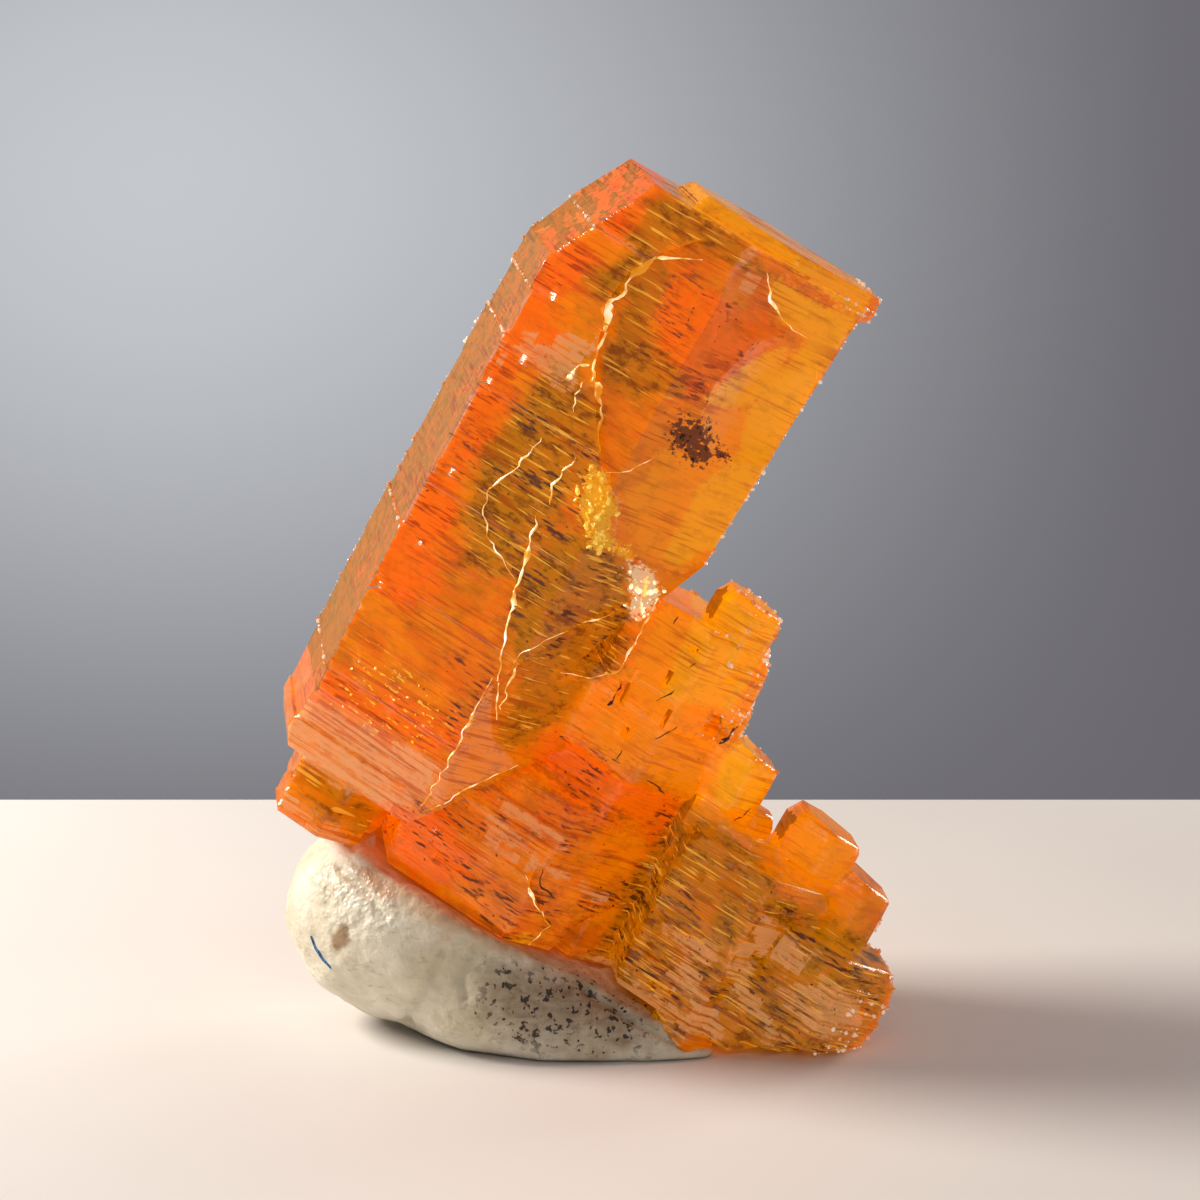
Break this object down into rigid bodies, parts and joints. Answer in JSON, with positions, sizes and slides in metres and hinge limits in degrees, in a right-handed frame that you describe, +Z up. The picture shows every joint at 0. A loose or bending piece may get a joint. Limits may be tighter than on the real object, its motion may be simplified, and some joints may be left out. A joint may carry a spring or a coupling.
{
  "type": "mimetite specimen",
  "caption": "Leaning group of parallel six-sided orange mimetite crystals, tall main crystal with stepped blocks, stood in a flat-bottomed lump of mounting putty.",
  "frame": {"origin": "under the middle of the whole specimen, on the surface that the putty stands on", "axes": "+Z up, the putty's flat underside looks to -Z; the front of the specimen looks to -Y and its crystals lean towards +X"},
  "size_m": [0.0164, 0.0097, 0.0231],
  "materials": {
    "mimetite": "see-through orange with a resinous shine, clouded and striated across the crystals",
    "putty": "pale, slightly waxy, with dark specks"
  },
  "bodies": {
    "root": {"mimetite_crystals": "mimetite", "mounting_putty": "putty"}
  },
  "joints": []
}
